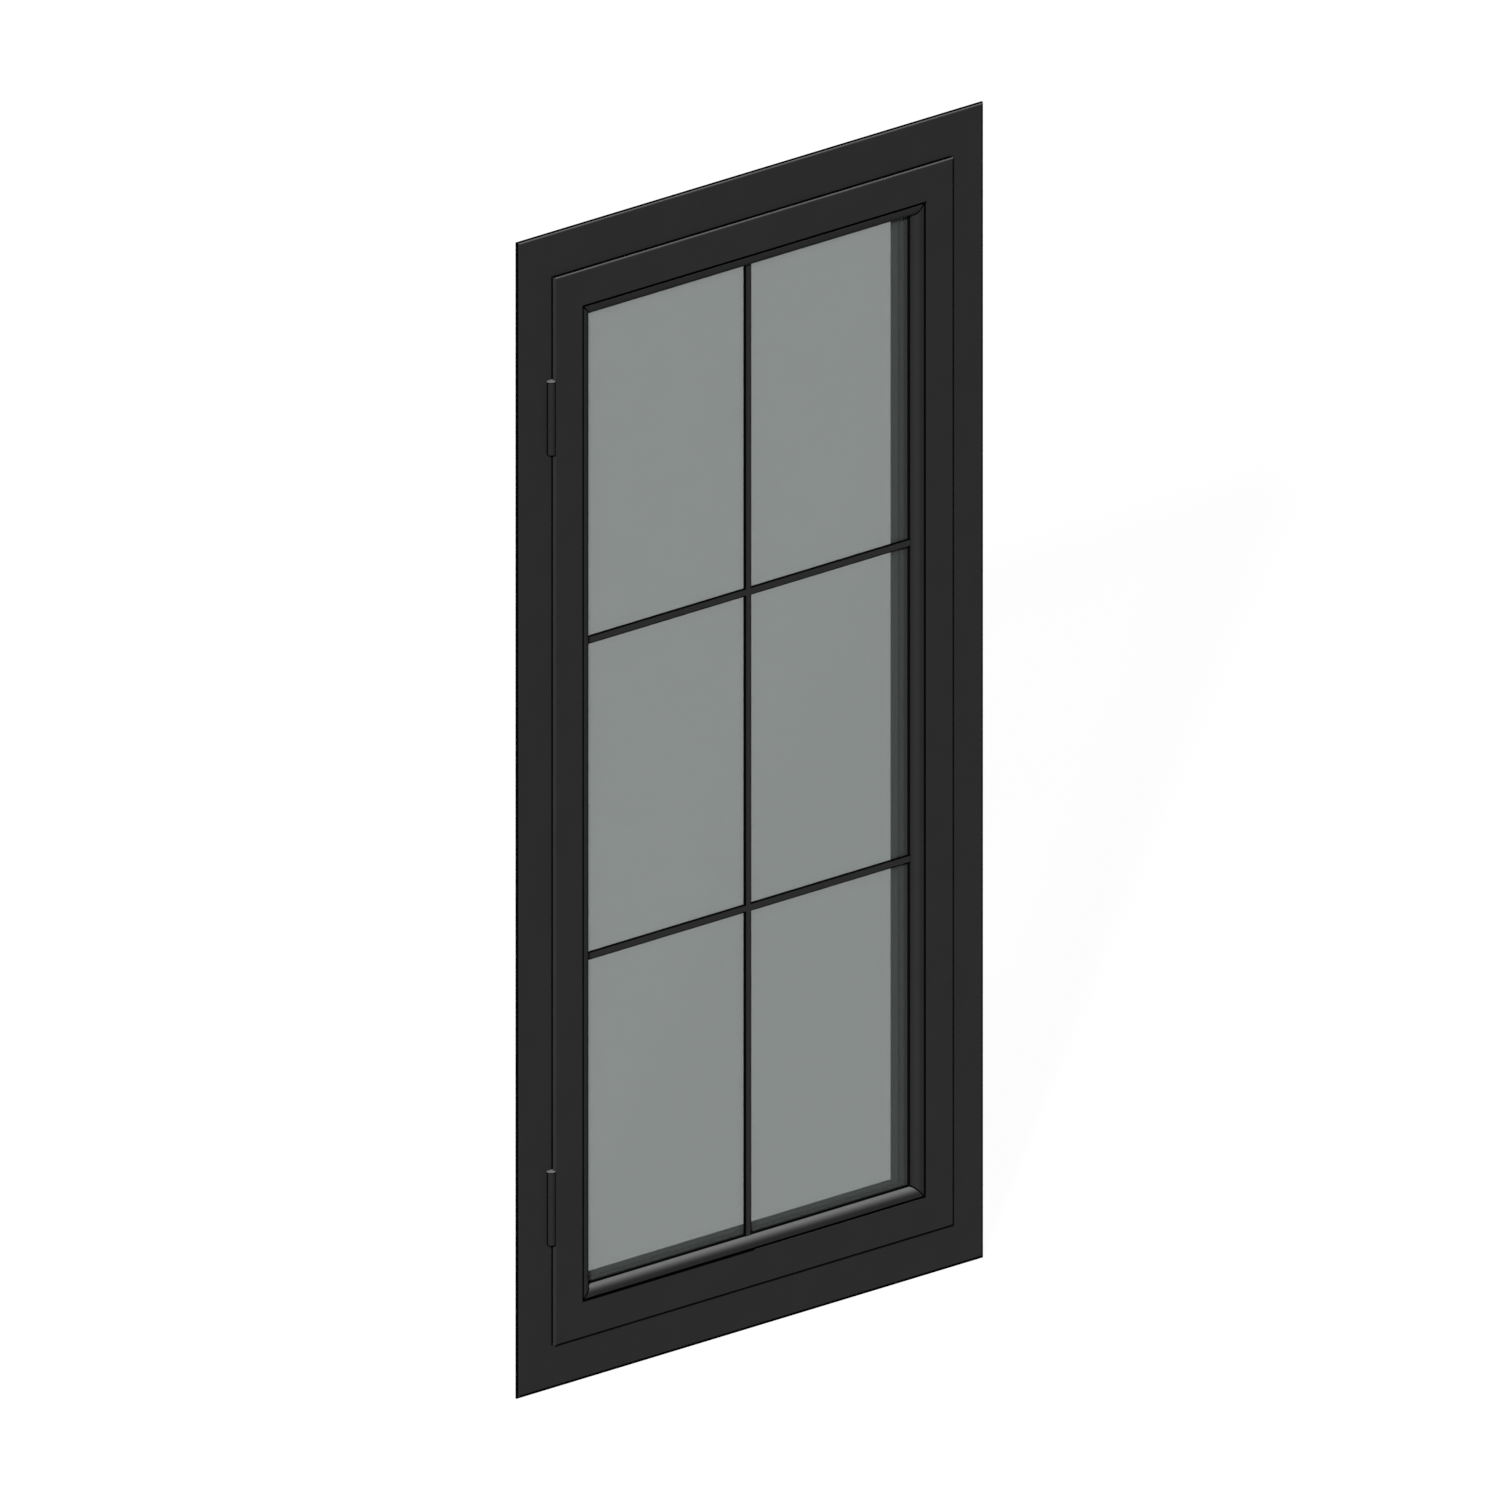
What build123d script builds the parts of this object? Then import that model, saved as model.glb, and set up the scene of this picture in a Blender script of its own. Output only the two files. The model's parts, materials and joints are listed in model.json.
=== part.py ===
"""Outward-opening aluminium casement window with a cover flange and applied glazing bars.

Millimetres. X runs along the window, Y from outdoors to indoors and Z up. The origin is
in the middle of the sill flange's back face, which bears on the outside of the wall.

Sections are drawn as (u, y): u is the distance outwards from the edge of the sash
opening, so the glass is at negative u, and y is the depth, with 0 at the flange's back.
"""

import math
import os

from build123d import *

# Sash and the flange round it, as seen from the front
SASH_WIDTH = 584.5
SASH_HEIGHT = 1199.0
SASH_FACE = 42.3
FLANGE_REACH = 48.8
OPENING_WIDTH = SASH_WIDTH - 2 * SASH_FACE
OPENING_HEIGHT = SASH_HEIGHT - 2 * SASH_FACE

# Frame section
WALL = 1.8
FLANGE_THICKNESS = 3.8
FLANGE_FILLET = 2.65
FLANGE_OVERHANG = 44.0
FRAME_DEPTH = 46.0
FRAME_REBATE_U = 31.0
FRAME_WEB_Y = 26.0
STOP_U = 12.0
STOP_FRONT_Y = 38.0

# Groove in the flange's back for the wall sealant
SEALANT_GROOVE_WIDTH = 4.0
SEALANT_GROOVE_DEPTH = 1.0
SEALANT_GROOVE_FROM_EDGE = 8.0

# Undercut groove on the wall side of the frame, for fixing lugs
LUG_GROOVE_Y = (28.0, 40.0)
LUG_GROOVE_DEPTH = 1.2
LUG_GROOVE_HOOK = 2.0
LUG_GROOVE_HOOK_THICKNESS = 0.6

# Punched marks that lock the frame's corners
CRIMP_FROM_CORNER = (16.0, 28.0)
CRIMP_Y = 12.0
CRIMP_HEIGHT = 10.0
CRIMP_WIDTH = 2.5
CRIMP_DEPTH = 0.8

# Sash section
SASH_EDGE_U = 1.1
SASH_FRONT_Y = -9.2
SASH_BACK_Y = 33.0
LIP_THICKNESS = 3.15
LIP_FILLET = 2.5
SASH_BOX_U = 26.0
SASH_WEB_Y = 17.5
GLAZING_LEG_U = -10.4
GLAZING_LEG_THICKNESS = 2.0

# Undercut groove round the sash for its hardware
HARDWARE_GROOVE_Y = (20.0, 30.0)
HARDWARE_GROOVE_DEPTH = 3.8
HARDWARE_GROOVE_HOOK = 2.0
HARDWARE_GROOVE_HOOK_THICKNESS = 1.4

# Double glazed unit
PANE = 4.0
CAVITY = 16.0
GLASS_FRONT_Y = 4.0
GLASS_EDGE_U = -3.0
SIGHT_LINE_U = -11.7
SPACER_HEIGHT = 7.0
SPACER_SHOULDER = 2.9
SPACER_WALL = 0.5
SETTING_BLOCK_LENGTH = 100.0
SETTING_BLOCK_FROM_CORNER = 60.0

# Glazing bead: its hook sits behind a ridge on the sash
BEAD_EDGE_U = -1.3
BEAD_RECESS = 0.87
BEAD_RADIUS = 6.8
BEAD_WALL = 1.5
BEAD_FOOT_Y = 1.8
BEAD_MITRE_GAP = 0.5
BEAD_HOOK_U = 0.7
BEAD_HOOK_Y = (-0.2, 1.3)
BEAD_RIDGE_U = -0.8
BEAD_RIDGE_Y = (-1.6, -0.4)

# Glazing gaskets on both sides of the unit, each with a root in a slot
GASKET_NOSE_U = -13.8
INNER_GASKET_NOSE_U = -13.1
GASKET_INNER_U = -5.0
GASKET_NOSE_FILLET = 0.5
OUTER_GASKET_ROOT_U = (-8.4, -6.6)
INNER_GASKET_ROOT_U = (-8.0, -6.0)
ROOT_DEPTH = 1.0

# Outer weather seal: a fin from the sash's lip to the flange
FIN_PAD_U = (33.0, 37.0)
FIN_PAD_THICKNESS = 0.8
FIN_ROOT_U = (33.8, 35.8)
FIN_ROOT_DEPTH = 1.4
FIN_TIP_U = (38.4, 40.0)

# Inner weather seal: a hollow bulb on the frame's stop
BULB_U = (16.0, 22.0)
BULB_RADIUS = 2.4
BULB_WALL = 0.9
BULB_ROOT_U = (18.2, 19.8)

# Glazing bars on the outside of the glass, on strips of tape
BAR_WIDTH = 8.4
BAR_PROUD = 3.8
BAR_PITCH = 354.4
BAR_END_GAP = 0.6
TAPE_THICKNESS = 1.0
TAPE_INSET = 0.4
TAPE_GAP = 0.2

# Barrel hinges on the left stile
BARREL_DIAMETER = 9.35
BARREL_LENGTH = 82.2
BARREL_FROM_SASH_END = 115.3
BARREL_CAP = 2.5
KNUCKLE_GAP = 0.2
PIN_DIAMETER = 5.0
PIN_CLEARANCE = 0.05
LEAF_THICKNESS = 2.0
LEAF_DEPTH = 22.0
LEAF_SIDE_GAP = 0.15
LEAF_NOTCH = 2.0
SEAL_CLEARANCE = 0.5

# Countersunk screw holes in the hinge leaves and in the walls behind them
SCREW_HOLE = 4.2
SCREW_HEAD = 7.6
SCREW_Y = 8.0
FRAME_LEAF_SCREWS = (-30.0, 30.0)
SASH_LEAF_SCREWS = (-8.0, 8.0)

# Fixing holes through the jambs
FIXING_DIAMETER = 5.5
FIXING_Y = 20.0
FIXING_SPACING = 700.0

# How far a section is run past its outermost mitred corner before the mitre is cut
RUN_OVER = 1.0

# Worked out from the sizes above
FLANGE_U = SASH_FACE + FLANGE_REACH
FRAME_BACK_U = FLANGE_U - FLANGE_OVERHANG
FLANGE_FRONT_Y = -FLANGE_THICKNESS
LIP_BACK_Y = SASH_FRONT_Y + LIP_THICKNESS
BEAD_FRONT_Y = SASH_FRONT_Y + BEAD_RECESS
INNER_PANE_Y = GLASS_FRONT_Y + PANE + CAVITY
GLASS_BACK_Y = INNER_PANE_Y + PANE
GLAZING_LEG_Y = SASH_BACK_Y - GLAZING_LEG_THICKNESS
GLASS_WIDTH = OPENING_WIDTH + 2 * GLASS_EDGE_U
GLASS_HEIGHT = OPENING_HEIGHT + 2 * GLASS_EDGE_U
CENTRE_Z = OPENING_HEIGHT / 2 + FLANGE_U - FLANGE_OVERHANG / 2
SASH_BOTTOM_Z = CENTRE_Z - SASH_HEIGHT / 2
BARREL_RADIUS = BARREL_DIAMETER / 2
HINGE_X = -(SASH_WIDTH / 2 + BARREL_RADIUS + LEAF_SIDE_GAP)
HINGE_Y = FLANGE_FRONT_Y - BARREL_RADIUS
HINGE_MIDDLES = (
    SASH_BOTTOM_Z + BARREL_FROM_SASH_END + BARREL_LENGTH / 2,
    SASH_BOTTOM_Z + SASH_HEIGHT - BARREL_FROM_SASH_END - BARREL_LENGTH / 2,
)
# The hinge leaves bear on the frame's rebate and on the sash's box, both on the left
FRAME_PLATE_X = (
    -(OPENING_WIDTH / 2 + FRAME_REBATE_U),
    -(OPENING_WIDTH / 2 + FRAME_REBATE_U - LEAF_THICKNESS),
)
SASH_PLATE_X = (
    -(OPENING_WIDTH / 2 + SASH_BOX_U + LEAF_THICKNESS),
    -(OPENING_WIDTH / 2 + SASH_BOX_U),
)

# Each side of the window: its length at u = 0, its turn about Y and where u = 0 lies
SIDES = {
    "left": (OPENING_HEIGHT, 180, Pos(-OPENING_WIDTH / 2, 0, CENTRE_Z)),
    "right": (OPENING_HEIGHT, 0, Pos(OPENING_WIDTH / 2, 0, CENTRE_Z)),
    "top": (OPENING_WIDTH, -90, Pos(0, 0, CENTRE_Z + OPENING_HEIGHT / 2)),
    "bottom": (OPENING_WIDTH, 90, Pos(0, 0, CENTRE_Z - OPENING_HEIGHT / 2)),
}
FRAME_NAMES = {
    "left": "frame_left_jamb",
    "right": "frame_right_jamb",
    "top": "frame_head",
    "bottom": "frame_sill",
}
SASH_NAMES = {
    "left": "sash_hinge_stile",
    "right": "sash_lock_stile",
    "top": "sash_top_rail",
    "bottom": "sash_bottom_rail",
}


def block(u, y):
    """A rectangular section from a pair of u values and a pair of y values."""
    middle = Pos((u[0] + u[1]) / 2, (y[0] + y[1]) / 2)
    return middle * Rectangle(abs(u[1] - u[0]), abs(y[1] - y[0]))


def outline(*points):
    """A section inside a closed outline of straight edges."""
    return make_face(Polyline(*points, close=True))


def rounded(section, corner, radius):
    """The section with its outline corner at the given point rounded."""
    return fillet(section.vertices().sort_by_distance(Vector(*corner))[0], radius)


def solid_box(x, y, z):
    """A box from a pair of coordinates along each axis."""
    middle = [(low + high) / 2 for low, high in (x, y, z)]
    return Pos(*middle) * Box(*[high - low for low, high in (x, y, z)])


def mitred(section, side, cut_back=0.0):
    """One side of the window: the section run along it and mitred at both ends.

    Each end can be cut back square to its mitre, which leaves the corner open by twice that.
    """
    length, turn, place = SIDES[side]
    bar = extrude(section, amount=length / 2 + FLANGE_U + RUN_OVER, both=True)
    mitre_z = length / 2 - cut_back * math.sqrt(2)
    for end in (1, -1):
        mitre = Plane(origin=(0, 0, end * mitre_z), z_dir=(-1, 0, end))
        bar = split(bar, bisect_by=mitre, keep=Keep.BOTTOM)
    return place * Rot(0, turn, 0) * bar


def undercut_groove(mouth_u, y, depth, hook, hook_thickness):
    """A groove open towards +u, with a hook along each edge of its mouth."""
    cavity = block((mouth_u - depth, mouth_u - hook_thickness), y)
    return cavity + block((mouth_u - hook_thickness, mouth_u), (y[0] + hook, y[1] - hook))


def frame_section():
    """Frame: cover flange outside, two-chamber box in the wall opening, stop behind the sash."""
    section = outline(
        (FRAME_REBATE_U, FLANGE_FRONT_Y),
        (FLANGE_U, FLANGE_FRONT_Y),
        (FLANGE_U, 0),
        (FRAME_BACK_U, 0),
        (FRAME_BACK_U, FRAME_DEPTH),
        (STOP_U, FRAME_DEPTH),
        (STOP_U, STOP_FRONT_Y),
        (FRAME_REBATE_U, STOP_FRONT_Y),
    )
    section = rounded(section, (FLANGE_U, FLANGE_FRONT_Y), FLANGE_FILLET)
    back_y = FRAME_DEPTH - WALL
    section -= block(
        (FRAME_REBATE_U + WALL, FRAME_BACK_U - WALL),
        (FLANGE_FRONT_Y + WALL, FRAME_WEB_Y - WALL / 2),
    )
    section -= block(
        (FRAME_REBATE_U + WALL, FRAME_BACK_U - LUG_GROOVE_DEPTH - WALL),
        (FRAME_WEB_Y + WALL / 2, back_y),
    )
    section -= block((STOP_U + WALL, FRAME_REBATE_U), (STOP_FRONT_Y + WALL, back_y))
    section -= undercut_groove(
        FRAME_BACK_U, LUG_GROOVE_Y, LUG_GROOVE_DEPTH, LUG_GROOVE_HOOK, LUG_GROOVE_HOOK_THICKNESS
    )
    groove_u = FLANGE_U - SEALANT_GROOVE_FROM_EDGE
    section -= block((groove_u - SEALANT_GROOVE_WIDTH, groove_u), (-SEALANT_GROOVE_DEPTH, 0))
    return section - block(BULB_ROOT_U, (STOP_FRONT_Y, STOP_FRONT_Y + ROOT_DEPTH))


def sash_section():
    """Sash: lip over the flange, two-chamber box, bead ridge, and the leg that backs the glass."""
    section = outline(
        (SASH_EDGE_U, SASH_FRONT_Y),
        (SASH_FACE, SASH_FRONT_Y),
        (SASH_FACE, LIP_BACK_Y),
        (SASH_BOX_U, LIP_BACK_Y),
        (SASH_BOX_U, SASH_BACK_Y),
        (GLAZING_LEG_U, SASH_BACK_Y),
        (GLAZING_LEG_U, GLAZING_LEG_Y),
        (SASH_EDGE_U, GLAZING_LEG_Y),
    )
    section = rounded(section, (SASH_FACE, SASH_FRONT_Y), LIP_FILLET)
    section += block((BEAD_RIDGE_U, SASH_EDGE_U + WALL), BEAD_RIDGE_Y)
    section -= block(
        (SASH_EDGE_U + WALL, SASH_BOX_U - WALL),
        (SASH_FRONT_Y + WALL, SASH_WEB_Y - WALL / 2),
    )
    section -= block(
        (SASH_EDGE_U + WALL, SASH_BOX_U - HARDWARE_GROOVE_DEPTH - WALL),
        (SASH_WEB_Y + WALL / 2, SASH_BACK_Y - WALL),
    )
    section -= undercut_groove(
        SASH_BOX_U,
        HARDWARE_GROOVE_Y,
        HARDWARE_GROOVE_DEPTH,
        HARDWARE_GROOVE_HOOK,
        HARDWARE_GROOVE_HOOK_THICKNESS,
    )
    section -= block(FIN_ROOT_U, (LIP_BACK_Y - FIN_ROOT_DEPTH, LIP_BACK_Y))
    return section - block(INNER_GASKET_ROOT_U, (GLAZING_LEG_Y, GLAZING_LEG_Y + ROOT_DEPTH))


def bead_section():
    """Hollow clip-in bead: flat strip beside the sash, quarter-round to the glass, hook behind."""
    section = block((BEAD_EDGE_U, SIGHT_LINE_U), (BEAD_FRONT_Y, BEAD_FOOT_Y))
    section = rounded(section, (SIGHT_LINE_U, BEAD_FRONT_Y), BEAD_RADIUS)
    hollow = block(
        (BEAD_EDGE_U - BEAD_WALL, SIGHT_LINE_U + BEAD_WALL),
        (BEAD_FRONT_Y + BEAD_WALL, BEAD_FOOT_Y - BEAD_WALL),
    )
    corner = (SIGHT_LINE_U + BEAD_WALL, BEAD_FRONT_Y + BEAD_WALL)
    section -= rounded(hollow, corner, BEAD_RADIUS - BEAD_WALL)
    section += block((BEAD_EDGE_U - BEAD_WALL, BEAD_HOOK_U), BEAD_HOOK_Y)
    return section - block(OUTER_GASKET_ROOT_U, (BEAD_FOOT_Y - ROOT_DEPTH, BEAD_FOOT_Y))


def outer_gasket_section():
    """Gasket between the bead and the outer pane, with its nose past the bead."""
    section = block((GASKET_INNER_U, GASKET_NOSE_U), (BEAD_FOOT_Y, GLASS_FRONT_Y))
    section = rounded(section, (GASKET_NOSE_U, BEAD_FOOT_Y), GASKET_NOSE_FILLET)
    return section + block(OUTER_GASKET_ROOT_U, (BEAD_FOOT_Y - ROOT_DEPTH, BEAD_FOOT_Y))


def inner_gasket_section():
    """Gasket between the inner pane and the sash's leg, with its nose past the leg."""
    section = block((GASKET_INNER_U, INNER_GASKET_NOSE_U), (GLASS_BACK_Y, GLAZING_LEG_Y))
    section = rounded(section, (INNER_GASKET_NOSE_U, GLAZING_LEG_Y), GASKET_NOSE_FILLET)
    return section + block(INNER_GASKET_ROOT_U, (GLAZING_LEG_Y, GLAZING_LEG_Y + ROOT_DEPTH))


def outer_seal_section():
    """Weather seal on the sash's lip: root, pad, and a fin that leans out to the flange."""
    pad_y = LIP_BACK_Y + FIN_PAD_THICKNESS
    return outline(
        (FIN_ROOT_U[0], LIP_BACK_Y - FIN_ROOT_DEPTH),
        (FIN_ROOT_U[1], LIP_BACK_Y - FIN_ROOT_DEPTH),
        (FIN_ROOT_U[1], LIP_BACK_Y),
        (FIN_PAD_U[1], LIP_BACK_Y),
        (FIN_PAD_U[1], pad_y),
        (FIN_TIP_U[1], FLANGE_FRONT_Y),
        (FIN_TIP_U[0], FLANGE_FRONT_Y),
        (FIN_ROOT_U[1], pad_y),
        (FIN_PAD_U[0], pad_y),
        (FIN_PAD_U[0], LIP_BACK_Y),
        (FIN_ROOT_U[0], LIP_BACK_Y),
    )


def inner_seal_section():
    """Weather seal on the frame's stop: root and hollow bulb against the back of the sash."""
    section = block(BULB_U, (SASH_BACK_Y, STOP_FRONT_Y))
    hollow = block(
        (BULB_U[0] + BULB_WALL, BULB_U[1] - BULB_WALL),
        (SASH_BACK_Y + BULB_WALL, STOP_FRONT_Y - BULB_WALL),
    )
    for edge, inward in zip(BULB_U, (BULB_WALL, -BULB_WALL)):
        section = rounded(section, (edge, SASH_BACK_Y), BULB_RADIUS)
        corner = (edge + inward, SASH_BACK_Y + BULB_WALL)
        hollow = rounded(hollow, corner, BULB_RADIUS - BULB_WALL)
    return section - hollow + block(BULB_ROOT_U, (STOP_FRONT_Y, STOP_FRONT_Y + ROOT_DEPTH))


def spacer_outline(inset):
    """Outline of the spacer bar, with sloping shoulders, drawn in by an inset all round."""
    near_y = GLASS_FRONT_Y + PANE + inset
    far_y = INNER_PANE_Y - inset
    back_u = SIGHT_LINE_U + SPACER_HEIGHT - inset
    face_u = SIGHT_LINE_U + inset
    shoulder = SPACER_SHOULDER - inset * (2 - math.sqrt(2))
    return outline(
        (back_u, near_y),
        (face_u + shoulder, near_y),
        (face_u, near_y + shoulder),
        (face_u, far_y - shoulder),
        (face_u + shoulder, far_y),
        (back_u, far_y),
    )


def spacer_section():
    """Hollow spacer bar between the panes."""
    return spacer_outline(0.0) - spacer_outline(SPACER_WALL)


def fixing_holes(side):
    """Two screw holes through one jamb, from the rebate into the wall."""
    sign = -1 if side == "left" else 1
    middle_u = (FRAME_REBATE_U + FRAME_BACK_U) / 2
    x = sign * (OPENING_WIDTH / 2 + middle_u)
    drill = Rot(0, 90, 0) * Cylinder(FIXING_DIAMETER / 2, 2 * (FRAME_BACK_U - FRAME_REBATE_U))
    return [Pos(x, FIXING_Y, CENTRE_Z + step * FIXING_SPACING) * drill for step in (-0.5, 0.5)]


def crimp_marks(side):
    """Punched marks near both corners, on the wall side of the frame."""
    length, turn, place = SIDES[side]
    corner = length / 2 + FRAME_BACK_U
    punch = Box(2 * CRIMP_DEPTH, CRIMP_HEIGHT, CRIMP_WIDTH)
    return [
        place * Rot(0, turn, 0) * Pos(FRAME_BACK_U, CRIMP_Y, end * (corner - distance)) * punch
        for end in (1, -1)
        for distance in CRIMP_FROM_CORNER
    ]


def pane(front_y):
    """One sheet of glass."""
    return Pos(0, front_y + PANE / 2, CENTRE_Z) * Box(GLASS_WIDTH, PANE, GLASS_HEIGHT)


def edge_sealant():
    """The sealant that fills the unit's edge outside the spacer bars, in one ring."""
    thickness = GLASS_EDGE_U - SIGHT_LINE_U - SPACER_HEIGHT
    ring = Box(GLASS_WIDTH, CAVITY, GLASS_HEIGHT)
    ring -= Box(GLASS_WIDTH - 2 * thickness, CAVITY, GLASS_HEIGHT - 2 * thickness)
    return Pos(0, GLASS_FRONT_Y + PANE + CAVITY / 2, CENTRE_Z) * ring


def setting_blocks():
    """Two blocks under the glass unit, one near each lower corner."""
    top = CENTRE_Z - GLASS_HEIGHT / 2
    bottom = CENTRE_Z - OPENING_HEIGHT / 2 - SASH_EDGE_U
    near = OPENING_WIDTH / 2 - SETTING_BLOCK_FROM_CORNER
    far = near - SETTING_BLOCK_LENGTH
    depth = (GLASS_FRONT_Y, GLASS_BACK_Y)
    return [solid_box(x, depth, (bottom, top)) for x in ((far, near), (-near, -far))]


def glazing_bars():
    """One upright bar and two level bars, halved where they cross, cut just short of the beads."""
    half_width = OPENING_WIDTH / 2 + SIGHT_LINE_U - BAR_END_GAP
    half_height = OPENING_HEIGHT / 2 + SIGHT_LINE_U - BAR_END_GAP
    front = GLASS_FRONT_Y - BAR_PROUD
    back = GLASS_FRONT_Y - TAPE_THICKNESS
    halving = (front + back) / 2
    across = (-BAR_WIDTH / 2, BAR_WIDTH / 2)
    upright = solid_box(across, (front, back), (CENTRE_Z - half_height, CENTRE_Z + half_height))
    level_bars = []
    for step in (0.5, -0.5):
        z = CENTRE_Z + step * BAR_PITCH
        band = (z - BAR_WIDTH / 2, z + BAR_WIDTH / 2)
        upright -= solid_box(across, (front, halving), band)
        level = solid_box((-half_width, half_width), (front, back), band)
        level_bars.append(level - solid_box(across, (halving, back), band))
    # The gaskets' noses pass under the bars, which are notched over them
    noses = Compound([mitred(outer_gasket_section(), side) for side in SIDES])
    return upright - noses, level_bars[0] - noses, level_bars[1] - noses


def bar_tapes():
    """Tape between the bars and the glass: one upright strip, and level strips beside it."""
    depth = (GLASS_FRONT_Y - TAPE_THICKNESS, GLASS_FRONT_Y)
    half_strip = BAR_WIDTH / 2 - TAPE_INSET
    half_width = OPENING_WIDTH / 2 + GASKET_NOSE_U
    half_height = OPENING_HEIGHT / 2 + GASKET_NOSE_U
    upright_z = (CENTRE_Z - half_height, CENTRE_Z + half_height)
    strips = [solid_box((-half_strip, half_strip), depth, upright_z)]
    start = half_strip + TAPE_GAP
    for step in (0.5, -0.5):
        z = CENTRE_Z + step * BAR_PITCH
        band = (z - half_strip, z + half_strip)
        strips.append(solid_box((start, half_width), depth, band))
        strips.append(solid_box((-half_width, -start), depth, band))
    return strips


def leaf_arm(heights, plate_x):
    """One knuckle, with its plate through the gap behind the lip and back along the rebate."""
    low, high = heights
    barrel = Pos(HINGE_X, HINGE_Y, (low + high) / 2) * Cylinder(BARREL_RADIUS, high - low)
    front_y = FLANGE_FRONT_Y - LEAF_THICKNESS
    run = solid_box((HINGE_X, plate_x[1]), (front_y, FLANGE_FRONT_Y), heights)
    flank = solid_box(plate_x, (front_y, FLANGE_FRONT_Y + LEAF_DEPTH), heights)
    return barrel + run + flank


def screw_holes(face_x, way, heights):
    """Countersunk holes from a leaf's face, into the wall behind it; way is -1 or 1 along X."""
    depth = LEAF_THICKNESS + WALL
    sink = (SCREW_HEAD - SCREW_HOLE) / 2
    hole = Pos(0, 0, depth / 2) * Cylinder(SCREW_HOLE / 2, depth)
    hole += Pos(0, 0, sink / 2) * Cone(SCREW_HEAD / 2, SCREW_HOLE / 2, sink)
    return [Pos(face_x, SCREW_Y, z) * Rot(0, way * 90, 0) * hole for z in heights]


def frame_leaf_screws(middle_z):
    """The screw holes of a frame leaf, which bears on the jamb."""
    return screw_holes(FRAME_PLATE_X[1], -1, [middle_z + step for step in FRAME_LEAF_SCREWS])


def sash_leaf_screws(middle_z):
    """The screw holes of a sash leaf, which bears on the hinge stile."""
    return screw_holes(SASH_PLATE_X[0], 1, [middle_z + step for step in SASH_LEAF_SCREWS])


def pin_room(middle_z, radius):
    """A cylinder on the hinge's axis, as long as the pin."""
    return Pos(HINGE_X, HINGE_Y, middle_z) * Cylinder(radius, BARREL_LENGTH - 2 * BARREL_CAP)


def hinge_leaves(middle_z):
    """Frame leaf with two knuckles and sash leaf with the one between."""
    bottom = middle_z - BARREL_LENGTH / 2
    top = middle_z + BARREL_LENGTH / 2
    knuckle = BARREL_LENGTH / 3
    frame_leaf = leaf_arm((bottom, bottom + knuckle - KNUCKLE_GAP / 2), FRAME_PLATE_X)
    frame_leaf += leaf_arm((top - knuckle + KNUCKLE_GAP / 2, top), FRAME_PLATE_X)
    plate_y = (FLANGE_FRONT_Y + LEAF_NOTCH, FLANGE_FRONT_Y + LEAF_DEPTH)
    frame_leaf += solid_box(FRAME_PLATE_X, plate_y, (bottom, top))
    middle = (bottom + knuckle + KNUCKLE_GAP / 2, top - knuckle - KNUCKLE_GAP / 2)
    sash_leaf = leaf_arm(middle, SASH_PLATE_X)
    bore = pin_room(middle_z, PIN_DIAMETER / 2 + PIN_CLEARANCE)
    for hole in frame_leaf_screws(middle_z):
        frame_leaf -= hole
    for hole in sash_leaf_screws(middle_z):
        sash_leaf -= hole
    return frame_leaf - bore, sash_leaf - bore


def room_in_seal(middle_z):
    """Where a hinge passes the outer seal, whose root alone runs on behind it."""
    half = BARREL_LENGTH / 2 + SEAL_CLEARANCE
    x = (-OPENING_WIDTH / 2 - SASH_FACE, -OPENING_WIDTH / 2 - FRAME_REBATE_U)
    return solid_box(x, (LIP_BACK_Y, FLANGE_FRONT_Y), (middle_z - half, middle_z + half))


def frame_piece(side):
    """One piece of the frame with its marks and holes."""
    piece = mitred(frame_section(), side)
    cuts = crimp_marks(side)
    if side in ("left", "right"):
        cuts += fixing_holes(side)
    if side == "left":
        cuts += [hole for z in HINGE_MIDDLES for hole in frame_leaf_screws(z)]
    for cut in cuts:
        piece -= cut
    return piece


def sash_piece(side):
    """One piece of the sash; the hinge stile has the sash leaves' screw holes."""
    piece = mitred(sash_section(), side)
    if side == "left":
        for z in HINGE_MIDDLES:
            for hole in sash_leaf_screws(z):
                piece -= hole
    return piece


def outer_seal(side):
    """One length of the outer seal, cleared where the hinges pass it."""
    seal = mitred(outer_seal_section(), side)
    if side == "left":
        for z in HINGE_MIDDLES:
            seal -= room_in_seal(z)
    return seal


def save(name, shape):
    """Writes one named piece."""
    pieces = shape if isinstance(shape, list) else [shape]
    solids = [solid for piece in pieces for solid in piece.solids()]
    export_step(solids[0] if len(solids) == 1 else Compound(solids), f"parts/{name}.step")


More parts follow.
